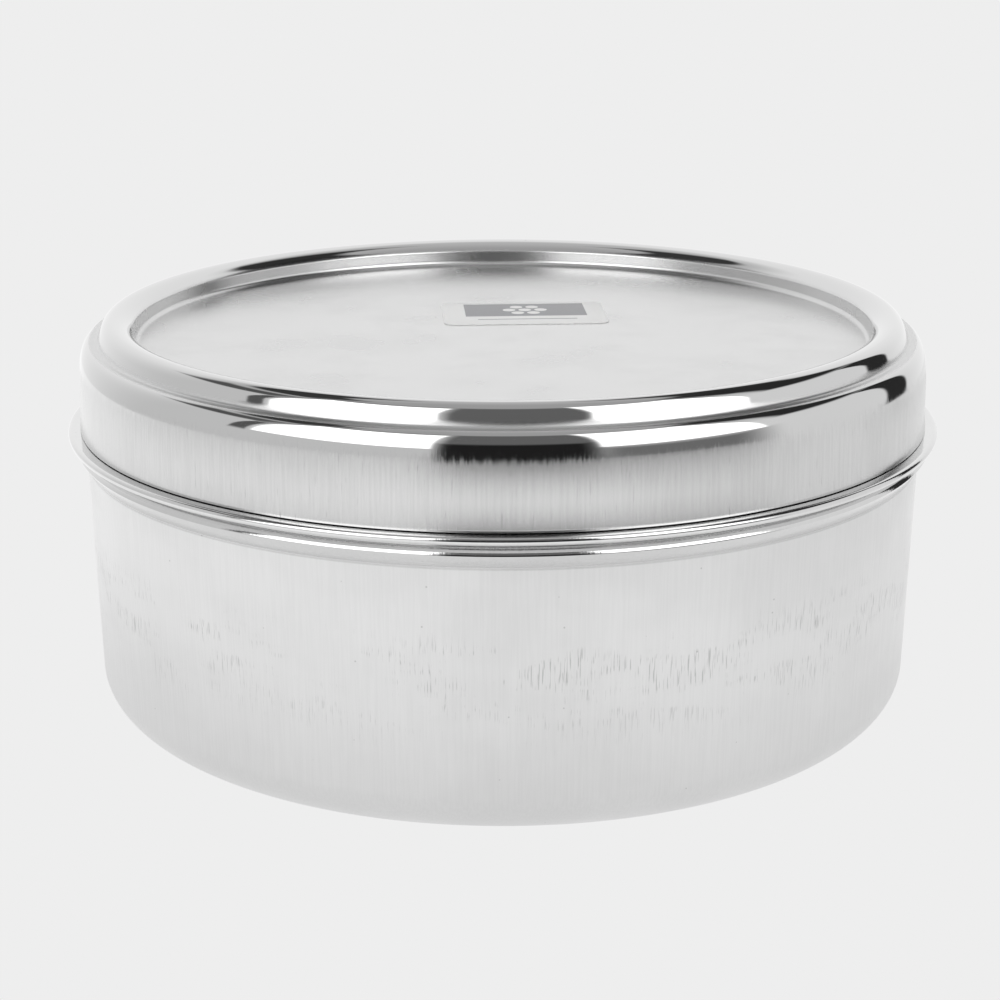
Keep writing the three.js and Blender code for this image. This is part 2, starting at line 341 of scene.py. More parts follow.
def calc(tree, operation, label, *values):
    """One sum on one to three values."""
    return node(tree, "ShaderNodeMath", label, dict(enumerate(values)), operation=operation)


def vector(tree, operation, label, *values):
    """One sum on vectors; LENGTH and DOT_PRODUCT give a plain value."""
    made = node(tree, "ShaderNodeVectorMath", label, dict(enumerate(values)), operation=operation)
    return made.outputs["Value" if operation in ("LENGTH", "DOT_PRODUCT") else "Vector"]


def ramp(tree, label, value, start, end, low=0.0, high=1.0, shape="SMOOTHSTEP"):
    """Runs from low to high while the value runs from start to end."""
    return node(tree, "ShaderNodeMapRange", label,
                {"Value": value, "From Min": start, "From Max": end, "To Min": low, "To Max": high},
                interpolation_type=shape)


def height_of(tree, place):
    """Height above the base."""
    return node(tree, "ShaderNodeSeparateXYZ", "Height", {0: place}).outputs["Z"]


def radius_of(tree, place):
    """Distance from the axis."""
    flat = vector(tree, "MULTIPLY", "Flat", place, (1, 1, 0))
    return vector(tree, "LENGTH", "From the axis", flat)


def gap(tree, label, value, middle):
    """How far a value is from a middle, either way."""
    return calc(tree, "ABSOLUTE", label, calc(tree, "SUBTRACT", label + " offset", value, middle))


def rectangle(tree, label, place, middle, half):
    """How far a place is from a rectangle's middle: 1 on its edge."""
    off = vector(tree, "SUBTRACT", label + " offset", place, (*middle, 0))
    share = vector(tree, "MULTIPLY", label + " share", off, (1 / half[0], 1 / half[1], 0))
    away = vector(tree, "ABSOLUTE", label + " away", share)
    sides = node(tree, "ShaderNodeSeparateXYZ", label + " sides", {0: away})
    return calc(tree, "MAXIMUM", label + " most", sides.outputs["X"], sides.outputs["Y"])


def material(name):
    """An empty material: its tree, its shader and the piece's own coordinates."""
    made = bpy.data.materials.get(name) or bpy.data.materials.new(name)
    made.use_nodes = True
    tree = made.node_tree
    tree.nodes.clear()
    shader = node(tree, "ShaderNodeBsdfPrincipled", "Surface", {})
    node(tree, "ShaderNodeOutputMaterial", "Output", {"Surface": shader.outputs["BSDF"]})
    place = node(tree, "ShaderNodeTexCoord", "Place", {}).outputs["Object"]
    return made, tree, shader, place


def grain(tree, place, label, spacing, low, high, detail=3.0):
    """Noise with a spacing in millimetres along x, y and z, cut to 0 below low and 1 above high."""
    stretched = node(tree, "ShaderNodeMapping", label + " spacing",
                     {"Vector": place, "Scale": [1 / (s * MM) for s in spacing]},
                     vector_type="POINT")
    noise = node(tree, "ShaderNodeTexNoise", label,
                 {"Vector": stretched, "Scale": 1.0, "Detail": detail, "Roughness": 0.6})
    return ramp(tree, label + " cut", noise.outputs["Fac"], low, high)


def specks(tree, place, label, spacing, share, kept=0.62):
    """Dots on random places, spacing millimetres apart; share of a cell is their radius. A cell
    whose random value is under kept has none."""
    cells = node(tree, "ShaderNodeTexVoronoi", label,
                 {"Vector": place, "Scale": 1 / (spacing * MM)})
    dot = ramp(tree, label + " edge", cells.outputs["Distance"], share, share * 0.5,
               shape="LINEAR")
    chosen = calc(tree, "GREATER_THAN", label + " chosen", cells.outputs["Color"], kept)
    return calc(tree, "MULTIPLY", label + " kept", dot, chosen)


def total(tree, label, *shares):
    """The weighted sum of several patterns."""
    result = 0.0
    for pattern, weight in shares:
        result = calc(tree, "MULTIPLY_ADD", label, pattern, weight, result)
    return result


def tint(tree, shader, label, share, first, second):
    """Runs the surface's colour from the first to the second."""
    mixed = node(tree, "ShaderNodeMix", label, {0: share, 6: [*first, 1], 7: [*second, 1]},
                 data_type="RGBA")
    tree.links.new(mixed.outputs[2], shader.inputs["Base Color"])


def tone(tree, shader, colour_value, dark, rough, rough_low, rough_high):
    """Darkens a metal where dark is 1 and runs its roughness between two values."""
    tint(tree, shader, "Tone", dark, colour_value, [v * DARKEST for v in colour_value])
    span = ramp(tree, "Roughness", rough, 0.0, 1.0, rough_low, rough_high, "LINEAR")
    tree.links.new(span.outputs[0], shader.inputs["Roughness"])
    shader.inputs["Metallic"].default_value = 1.0


def relief(tree, shader, height, depth):
    """Cuts a pattern into the surface, depth millimetres deep."""
    bump = node(tree, "ShaderNodeBump", "Relief",
                {"Height": height, "Strength": 1.0, "Distance": depth * MM})
    tree.links.new(bump.outputs[0], shader.inputs["Normal"])


def drawn_steel(colour_value):
    """Deep-drawn stainless sheet, satin from the die: fine upright draw lines, a band of short
    scuffs where boxes rub in the stack, and a lip, roll and neck burnished bright."""
    made, tree, shader, place = material("drawn_satin_stainless")
    # Draw lines are about 0.1 mm apart on such a wall; drawn 0.5 mm apart so that they show.
    lines = grain(tree, place, "Draw lines", (0.5, 0.5, 45), 0.3, 0.7)
    cloud = grain(tree, place, "Handling", (30, 30, 22), 0.35, 0.7)
    scuffs = grain(tree, place, "Scuffs", (0.3, 0.3, 6.5), 0.57, 0.66, 1.0)
    patches = grain(tree, place, "Scuffed patches", (22, 22, 7), 0.46, 0.6)
    height = height_of(tree, place)
    above = ramp(tree, "Above the heel", height, *RUB_STARTS)
    below = ramp(tree, "Below the middle", height, *RUB_ENDS)
    band = calc(tree, "MULTIPLY", "Rubbing band", above, below)
    patchy = calc(tree, "MULTIPLY", "Patchy band", band, patches)
    rubbed = calc(tree, "MULTIPLY", "Rubbed", patchy, scuffs)
    bright = ramp(tree, "Burnished lip", height, *BURNISHED)
    dots = specks(tree, place, "Specks", 4.5, 0.06)
    # Painted shade: the colour is darkened along the crease where the wall turns out under the
    # roll.
    from_crease = gap(tree, "From the crease", height, WALL_CREASE)
    crease = ramp(tree, "Dull crease", from_crease, *WALL_CREASE_REACH)
    dark = total(tree, "Dark", (lines, 0.06), (cloud, 0.05), (rubbed, 0.5), (dots, 0.5),
                 (crease, 0.32))
    rough = total(tree, "Rough", (cloud, 0.2), (lines, 0.1), (bright, -0.9), (rubbed, 0.2),
                  (1.0, 0.8))
    tone(tree, shader, colour_value, dark, rough, 0.05, 0.34)
    relief(tree, shader, total(tree, "Height", (lines, 1.0), (rubbed, -1.5)), 0.004)
    return made


def lid_steel(colour_value):
    """Stainless lid: satin disc and groove, upright brushed skirt, ridge and shoulder buffed
    bright."""
    made, tree, shader, place = material("brushed_and_buffed_stainless")
    height, radius = height_of(tree, place), radius_of(tree, place)
    disc = ramp(tree, "Satin disc", radius, *DISC_EDGE)
    # The belt stopped unevenly on the shoulder, so its marks end in ragged streaks.
    streaks = grain(tree, place, "Belt streaks", (0.42, 0.42, 40), 0.25, 0.75)
    reach = total(tree, "Belt reach", (height, 1.0), (streaks, BELT_STREAK))
    skirt = ramp(tree, "Brushed skirt", reach, *BELT_END)
    beside = gap(tree, "Beside the groove", radius, GROOVE)
    low = ramp(tree, "Low in the groove", height, *GROOVE_FLOOR, shape="LINEAR")
    near = ramp(tree, "Groove", beside, *GROOVE_REACH)
    groove = calc(tree, "MULTIPLY", "Unbuffed groove", low, near)
    satin = calc(tree, "MAXIMUM", "Satin", disc, skirt)
    # Belt marks are finer than 0.1 mm; drawn 0.45 mm apart so that they show.
    lines = grain(tree, place, "Brushing", (0.45, 0.45, 30), 0.3, 0.7)
    brushed = calc(tree, "MULTIPLY", "Brushed", lines, skirt)
    hairs = grain(tree, place, "Long scratches", (0.4, 0.4, 9), 0.66, 0.74, 2.0)
    scored = calc(tree, "MULTIPLY", "Scored", hairs, skirt)
    cloud = grain(tree, place, "Smudges", (26, 26, 30), 0.4, 0.72)
    hazy = calc(tree, "MULTIPLY", "Haze", cloud, satin)
    dots = specks(tree, place, "Specks", 7.0, 0.045)
    dark = total(tree, "Dark", (brushed, 0.1), (hazy, 0.07), (dots, 0.4), (scored, 0.3))
    rough = total(tree, "Rough", (skirt, 0.45), (disc, 0.5), (hazy, 0.08), (groove, 0.7))
    tone(tree, shader, colour_value, dark, rough, 0.045, 0.45)
    relief(tree, shader, total(tree, "Height", (brushed, 1.0), (scored, -1.0)), 0.004)
    return made


def cup_steel(colour_value):
    """Spun stainless cups: bright, with fine rings round the wall from the spinning tool."""
    made, tree, shader, place = material("spun_stainless")
    # Tool rings are about 0.2 mm apart; drawn 0.6 mm apart so that they show.
    rings = grain(tree, place, "Tool rings", (60, 60, 0.6), 0.3, 0.7)
    cloud = grain(tree, place, "Smudges", (15, 15, 15), 0.4, 0.7)
    dots = specks(tree, place, "Specks", 5.0, 0.05)
    dark = total(tree, "Dark", (rings, 0.06), (cloud, 0.05), (dots, 0.3))
    rough = total(tree, "Rough", (rings, 0.4), (cloud, 0.6))
    tone(tree, shader, colour_value, dark, rough, 0.12, 0.24)
    relief(tree, shader, rings, 0.003)
    return made


def plate_steel(colour_value):
    """Inner plate: pressed stainless with a circular brushed finish."""
    made, tree, shader, place = material("circular_brushed_stainless")
    rounds = node(tree, "ShaderNodeCombineXYZ", "Rounds", {"X": radius_of(tree, place)})
    # Brushing is about 0.1 mm apart; drawn 0.5 mm apart so that it shows.
    lines = grain(tree, rounds, "Circular brushing", (0.5, 1, 1), 0.3, 0.7)
    cloud = grain(tree, place, "Smudges", (22, 22, 22), 0.4, 0.7)
    hairs = grain(tree, place, "Hair scratches", (9, 0.5, 3), 0.66, 0.76, 2.0)
    dark = total(tree, "Dark", (lines, 0.08), (cloud, 0.06), (hairs, 0.15))
    rough = total(tree, "Rough", (lines, 0.3), (cloud, 0.5), (hairs, 0.3))
    tone(tree, shader, colour_value, dark, rough, 0.13, 0.26)
    relief(tree, shader, total(tree, "Height", (lines, 1.0), (hairs, -1.0)), 0.003)
    return made


def wire_steel(colour_value):
    """Ring and saddle: bright stainless wire and strap, tumbled smooth, with faint die lines."""
    made, tree, shader, place = material("bright_drawn_wire")
    lines = grain(tree, place, "Die lines", (12, 0.4, 0.4), 0.4, 0.7)
    cloud = grain(tree, place, "Handling", (5, 5, 5), 0.4, 0.7)
    dark = total(tree, "Dark", (lines, 0.06), (cloud, 0.08))
    rough = total(tree, "Rough", (lines, 0.4), (cloud, 0.6))
    tone(tree, shader, colour_value, dark, rough, 0.08, 0.2)
    relief(tree, shader, lines, 0.002)
    return made


def spoon_steel(colour_value):
    """Spoons: stamped stainless, tumble-polished, with fine hair scratches along the handle."""
    made, tree, shader, place = material("tumbled_stainless")
    hairs = grain(tree, place, "Hair scratches", (10, 0.4, 2), 0.58, 0.72, 2.0)
    cloud = grain(tree, place, "Handling", (9, 9, 9), 0.4, 0.7)
    dark = total(tree, "Dark", (hairs, 0.12), (cloud, 0.06))
    rough = total(tree, "Rough", (hairs, 0.5), (cloud, 0.5))
    tone(tree, shader, colour_value, dark, rough, 0.09, 0.2)
    relief(tree, shader, hairs, 0.002)
    return made


# The label's print, in millimetres from its middle: middle and half sizes of the panel and the
# rule, and the dots' middle, ring and radius.
PANEL, RULE = ((0.5, 3.9), (16, 7.7)), ((0.5, -7.6), (13, 0.35))
DOTS, DOT_RING, DOT_RADIUS, DOTS_AROUND = (0.5, 3.9), 4.2, 1.7, 6


def label_paper(paper, ink, centre, turn):
    """Coated label paper, printed with a grey panel, a ring of seven dots and a plain rule."""
    made, tree, shader, place = material("coated_label_paper")
    own = node(tree, "ShaderNodeMapping", "On the label",
               {"Vector": place, "Location": (centre.x, centre.y, 0), "Rotation": (0, 0, turn)},
               vector_type="TEXTURE")

    def patch(label, middle, half):
        """1 inside a rectangle on the label, in millimetres."""
        most = rectangle(tree, label, own, [v * MM for v in middle], [v * MM for v in half])
        return calc(tree, "LESS_THAN", label, most, 1.0)

    panel, rule = patch("Panel", *PANEL), patch("Rule", *RULE)
    dots = 0.0
    for i in range(DOTS_AROUND + 1):
        angle = math.tau * i / DOTS_AROUND
        ring = 0 if i == DOTS_AROUND else DOT_RING
        spot = (DOTS[0] + ring * math.cos(angle), DOTS[1] + ring * math.sin(angle), 0)
        away = vector(tree, "SUBTRACT", "From a dot", own, [v * MM for v in spot])
        level = vector(tree, "MULTIPLY", "Level", away, (1, 1, 0))
        dot = calc(tree, "LESS_THAN", "Dot", vector(tree, "LENGTH", "Distance", level),
                   DOT_RADIUS * MM)
        dots = calc(tree, "MAXIMUM", "Dots", dots, dot)
    inked = calc(tree, "SUBTRACT", "Inked", panel, dots)
    printed = calc(tree, "MAXIMUM", "Printed", inked, rule)
    fibre = grain(tree, place, "Paper fibre", (0.4, 0.9, 0.4), 0.3, 0.7)
    worn = total(tree, "Ink and fibre", (printed, 0.93), (fibre, 0.05))
    tint(tree, shader, "Print", worn, paper, ink)
    shader.inputs["Roughness"].default_value = 0.42
    shader.inputs["IOR"].default_value = 1.5
    relief(tree, shader, fibre, 0.01)
    return made


# ---------------------------------------------------------------- pieces


class SPICEBOX_OT_box(bpy.types.Operator):
    """Turns the drawn box with its folded lip and neck"""
    bl_idname = "spice_box.box"
    bl_label = "Box"

    def execute(self, context):
        s = context.scene.spice_box.box
        lip_edge, top = edge("box"), edge("box", "z")
        wall = lip_edge - s.lip_reach
        foot, half = wall - s.taper, s.lip_thickness / 2
        roll_centre = (wall + s.roll_reach - s.roll_radius, s.lip_height - s.roll_drop)
        roll = arc(roll_centre, (s.roll_radius,) * 2, 15, 75)
        path = [
            (0, 0),
            *arc((foot - s.heel_width, s.heel_height), (s.heel_width, s.heel_height), -90, 0, 4),
            (wall, roll[0][1] - s.cone_height),
            *roll,
            (roll[-1][0], s.lip_height - half),
            *arc((lip_edge - half, s.lip_height), (half, half), -90, 90, 15),
            (wall, s.lip_height + half),
            (wall, top),
        ]
        piece = turned("steel_box", path, s.sheet, False)
        seat(piece, "box", drawn_steel(context.scene.spice_box.finishes.drawn))
        return {"FINISHED"}


class SPICEBOX_OT_lid(bpy.types.Operator):
    """Turns the press-on lid with its disc, ridge, shoulder and skirt"""
    bl_idname = "spice_box.lid"
    bl_label = "Lid"

    # Angles of the section, in degrees: where the ridge's inner round ends, how far the ridge's
    # outer side leans where it runs down into the groove, and how far the skirt leans where the
    # shoulder runs into it and at its edge.
    INNER_END, SIDE_LEAN, TOP_LEAN, EDGE_LEAN = 145, 22, 4, 5

    def execute(self, context):
        s = context.scene.spice_box.lid
        skirt, foot = edge("lid") - s.flare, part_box("lid")[0].z
        crest = (skirt - s.crest_inset, edge("lid", "z"))
        turn, lean, top_lean, edge_lean = map(
            math.radians, (self.INNER_END, self.SIDE_LEAN, self.TOP_LEAN, self.EDGE_LEAN))
        to_crease = s.ridge_inner - s.crease
        crease = (crest[0] + to_crease * math.cos(turn),
                  crest[1] - s.ridge_inner + to_crease * math.sin(turn))
        leave = math.atan(math.tan(lean) * s.ridge_drop / s.ridge_width)
        side = (crest[0] + s.ridge_width * math.cos(leave),
                crest[1] + s.ridge_drop * (math.sin(leave) - 1))
        down = (side[1] - foot - s.valley - s.valley_fillet * (1 - math.sin(lean))) / math.cos(lean)
        valley = (side[0] + down * math.sin(lean) + s.valley_fillet * math.cos(lean),
                  foot + s.valley + s.valley_fillet)
        shoulder_height = s.valley - s.shoulder
        meet = math.atan(math.tan(top_lean) * shoulder_height / s.shoulder_width)
        bell = (edge("lid") + s.bell * math.cos(edge_lean), foot + s.bell * math.sin(edge_lean))
        barrel = (bell[0] - s.bell - s.barrel, bell[1])
        path = [
            (0, foot + s.disc),
            *arc((crease[0] - s.crease - s.disc_fillet, foot + s.disc + s.disc_fillet),
                 (s.disc_fillet,) * 2, -90, 0),
            *arc(crease, (s.crease,) * 2, 180, self.INNER_END, 5),
            *arc((crest[0], crest[1] - s.ridge_inner), (s.ridge_inner,) * 2, self.INNER_END, 90, 3),
            *arc((crest[0], crest[1] - s.ridge_drop), (s.ridge_width, s.ridge_drop), 90,
                 math.degrees(leave), 3),
            *arc(valley, (s.valley_fillet,) * 2, 180 + self.SIDE_LEAN, 270, 8),
            *arc((skirt - s.shoulder_width, foot + s.shoulder), (s.shoulder_width, shoulder_height),
                 90, math.degrees(meet), 3),
            *arc(barrel, (s.barrel,) * 2, self.TOP_LEAN, 0, 0.4)[1:],
            *arc(bell, (s.bell,) * 2, 180, 180 + self.EDGE_LEAN, 0.5)[1:],
        ]
        piece = turned("steel_lid", path, s.sheet, True)
        seat(piece, "lid", lid_steel(context.scene.spice_box.finishes.polished))
        return {"FINISHED"}


class SPICEBOX_OT_label(bpy.types.Operator):
    """Cuts the paper label and prints its plain motif"""
    bl_idname = "spice_box.label"
    bl_label = "Label"

    BURR = 0.04 * MM

    def execute(self, context):
        s = context.scene.spice_box.label
        low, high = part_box("lid_label")
        centre = (low + high) / 2
        piece = begin("paper_label")
        x, y = s.long_side / 2 - s.corner, s.short_side / 2 - s.corner
        corners = ((x, y), (-x, y), (-x, -y), (x, -y))
        outline = [point for i, corner in enumerate(corners)
                   for point in arc(corner, (s.corner,) * 2, 90 * i, 90 * (i + 1), 10)]
        draw([Vector((a, b, low.z)) for a, b in outline])
        bpy.ops.mesh.select_all(action="SELECT")
        bpy.ops.mesh.edge_face_add()
        bpy.ops.transform.rotate(value=-s.turn, orient_axis="Z", center_override=(0, 0, 0))
        bpy.ops.transform.translate(value=(centre.x, centre.y, s.paper))
        close(piece, True)
        thicken(piece, s.paper, self.BURR)
        finishes = context.scene.spice_box.finishes
        finish = label_paper(finishes.paper, finishes.ink, centre, s.turn)
        seat(piece, "lid_label", finish)
        return {"FINISHED"}


class SPICEBOX_OT_cups(bpy.types.Operator):
    """Turns one cup and sets out its six copies"""
    bl_idname = "spice_box.cups"
    bl_label = "Cups"

    def execute(self, context):
        s = context.scene.spice_box.cups
        low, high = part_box("cup_centre")
        rim, curl = high.y, s.curl - s.sheet
        wall = rim - 2 * s.curl + s.sheet
        foot = wall - s.taper
        path = [
            (0, low.z),
            *arc((foot - s.heel_width, low.z + s.heel_height), (s.heel_width, s.heel_height),
                 -90, 0, 5),
            *arc((wall + curl, high.z - s.curl), (curl, curl), 180, -30, 12),
        ]
        finish = cup_steel(context.scene.spice_box.finishes.cup)
        first = turned("steel_cup_centre", path, s.sheet, False, CUP_ROUND)
        pitch = (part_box("cup_1")[0].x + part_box("cup_1")[1].x) / 2
        for i in range(s.around):
            angle = math.tau * i / s.around
            spot = (pitch * math.cos(angle), pitch * math.sin(angle), 0)
            cup = copy_of(first, f"steel_cup_{i + 1}", spot, angle)
            seat(cup, f"cup_{i + 1}", finish)
        seat(first, "cup_centre", finish)
        return {"FINISHED"}


class SPICEBOX_OT_plate(bpy.types.Operator):
    """Turns the inner plate with its rib and upturned lip"""
    bl_idname = "spice_box.plate"
    bl_label = "Inner plate"

    # Half widths of the rib.
    RIB_FOOT, RIB_TOP = 3 * MM, 1 * MM

    def execute(self, context):
        s = context.scene.spice_box.plate
        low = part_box("inner_plate")[0].z
        outer = edge("inner_plate")
        rib, rib_top = outer - s.rib_inset, low + s.rib_rise
        path = [
            (0, low), (rib - self.RIB_FOOT, low), (rib - self.RIB_TOP, rib_top),
            (rib + self.RIB_TOP, rib_top), (rib + self.RIB_FOOT, low),
            *arc((outer - s.lip_fillet, low + s.lip_fillet), (s.lip_fillet,) * 2, -90, 0, 8),
            (outer, edge("inner_plate", "z")),
        ]
        piece = turned("steel_plate", path, s.sheet, False)
        finish = plate_steel(context.scene.spice_box.finishes.polished)
        seat(piece, "inner_plate", finish)
        return {"FINISHED"}


class SPICEBOX_OT_ring(bpy.types.Operator):
    """Bends the folding ring from wire, and its saddle from strap"""
    bl_idname = "spice_box.ring"
    bl_label = "Ring and saddle"

    # Faces along each of the saddle's feet and across it; the spot welds' places from the middle,
    # how deep each press goes, and how wide each is as a share of the weld.
    FOOT_STEPS, ACROSS = 14, 26
    WELD_X, WELD_Y, PRESS, PRESSES = 3.2 * MM, 5.6 * MM, 0.07 * MM, (1.0, 0.6)

    def execute(self, context):
        s = context.scene.spice_box.plate
        finish = wire_steel(context.scene.spice_box.finishes.polished)
        self.ring(s, finish)
        self.saddle(s, finish)
        return {"FINISHED"}

    def ring(self, s, finish):
        """The wire is swept along its bar, bends, sides and bow, back to where it starts."""
        low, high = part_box("lifting_ring")
        half, bar = high.x - s.wire / 2, (low.z + high.z) / 2
        corner = half - s.ring_corner
        alone()
        bpy.ops.mesh.primitive_circle_add(vertices=24, radius=s.wire / 2,
                                          location=(-corner, 0, bar),
                                          rotation=(0, math.pi / 2, 0))
        piece = bpy.context.object
        piece.name = piece.data.name = "steel_ring"
        bpy.ops.object.transform_apply(location=True, rotation=True, scale=True)
        bpy.ops.object.mode_set(mode="EDIT")
        bpy.ops.mesh.select_all(action="SELECT")
        straight, side = 2 * corner, s.ring_side - s.ring_corner
        for move, centre, turn, steps in (
            ((straight, 0, 0), (corner, -s.ring_corner, bar), 90, 12),
            ((0, -side, 0), (0, -s.ring_side, bar), 180, 48),
            ((0, side, 0), (-corner, -s.ring_corner, bar), 90, 12),
        ):
            bpy.ops.mesh.extrude_region_move(TRANSFORM_OT_translate={"value": move})
            bpy.ops.mesh.spin(steps=steps, angle=math.radians(turn), center=centre,
                              axis=(0, 0, 1))
        bpy.ops.mesh.select_all(action="SELECT")
        bpy.ops.mesh.remove_doubles(threshold=0.001 * MM)
        bpy.ops.mesh.normals_make_consistent(inside=False)
        bpy.ops.object.mode_set(mode="OBJECT")
        seat(piece, "lifting_ring", finish)

    def saddle(self, s, finish):
        """The strap runs down both sides of the bar to two feet, pressed where they are welded."""
        low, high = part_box("ring_saddle")
        outer, foot_z = s.bar_hole + s.strap, low.z + s.strap
        feet = [(high.y - (high.y - outer) * i / self.FOOT_STEPS, foot_z)
                for i in range(self.FOOT_STEPS + 1)]
        path = [*feet, *arc((0, low.z + s.bar_hole), (outer, outer), 0, 180, 10),
                *[(-y, z) for y, z in reversed(feet)]]
        piece = begin("steel_saddle")
        draw([Vector((low.x, y, z)) for y, z in path])
        bpy.ops.mesh.select_all(action="SELECT")
        step = ((high.x - low.x) / self.ACROSS, 0, 0)
        for _ in range(self.ACROSS):
            bpy.ops.mesh.extrude_region_move(TRANSFORM_OT_translate={"value": step})
        close(piece, True)
        thicken(piece, s.strap)
        welds = [Vector((x, y)) for x in (-self.WELD_X, self.WELD_X)
                 for y in (-self.WELD_Y, self.WELD_Y)]
        for share in self.PRESSES:
            for vertex in piece.data.vertices:
                near = min((vertex.co.xy - weld).length for weld in welds)
                vertex.select = abs(vertex.co.z - foot_z) < 0.15 * MM and near < s.weld * share
            bpy.ops.object.mode_set(mode="EDIT")
            bpy.ops.transform.translate(value=(0, 0, -self.PRESS))
            bpy.ops.object.mode_set(mode="OBJECT")
        seat(piece, "ring_saddle", finish)


class SPICEBOX_OT_spoons(bpy.types.Operator):
    """Stamps the front spoon and turns its copy round for the back"""
    bl_idname = "spice_box.spoons"
    bl_label = "Spoons"

    # Rows along the bowl and the handle, faces across, and where the bowl's outline starts, in
    # degrees round it from the neck.
    BOWL_ROWS, HANDLE_ROWS, ACROSS, START = 30, 40, 14, 174
    BURR = 0.2 * MM

    def execute(self, context):
        s = context.scene.spice_box.spoons
        low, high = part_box("spoon_front")
        middle = (low.y + high.y) / 2
        rim = low.z + s.bowl_depth + s.sheet
        stations = self.stations(s, low, high, rim)
        piece = begin("steel_spoon_front")
        x, half, z, dish = stations[0]
        sides = [2 * i / self.ACROSS - 1 for i in range(self.ACROSS + 1)]
        draw([Vector((x, middle + half * side, z - dish * (1 - side ** 2))) for side in sides])
        bpy.ops.mesh.select_all(action="SELECT")
        for before, after in zip(stations, stations[1:]):
            move = (after[0] - before[0], 0, after[2] - before[2])
            bpy.ops.mesh.extrude_region_move(TRANSFORM_OT_translate={"value": move})
            bpy.ops.transform.resize(value=(1, after[1] / before[1], after[3] / before[3]),
                                     center_override=(after[0], middle, after[2]))
        close(piece, True)
        thicken(piece, s.sheet, self.BURR)
        back = copy_of(piece, "steel_spoon_back", turn=math.pi)
        finish = spoon_steel(context.scene.spice_box.finishes.polished)
        seat(piece, "spoon_front", finish)
        seat(back, "spoon_back", finish)
        return {"FINISHED"}

    def stations(self, s, low, high, rim):
        """Place, half width, height and dish of each row across the spoon."""
        stations = []
        end = math.degrees(math.asin(s.neck / s.bowl_width))
        for i in range(self.BOWL_ROWS + 1):
            angle = math.radians(self.START + (end - self.START) * i / self.BOWL_ROWS)
            swell = math.sin(angle)
            stations.append((low.x + s.bowl_length / 2 * (1 + math.cos(angle)),
                             s.bowl_width / 2 * swell, rim,
                             max(s.bowl_depth * swell ** 2, s.channel)))
        neck_x = stations[-1][0]
        tip = s.end / 2
        for i in range(1, self.HANDLE_ROWS + 1):
            part = i / self.HANDLE_ROWS
            x = neck_x + (high.x - neck_x) * part
            half = (s.neck + (s.end - s.neck) * part) / 2
            if high.x - x < tip:
                half = min(half, s.tip / 2 + (half - s.tip / 2) * math.sqrt((high.x - x) / tip))
            z = rim + (low.z + s.sheet - rim) * part ** 2 + s.arch * math.sin(math.pi * part)
            stations.append((x, half, z, s.channel * max(1 - part, 0.05)))
        return stations


# ---------------------------------------------------------------- studio


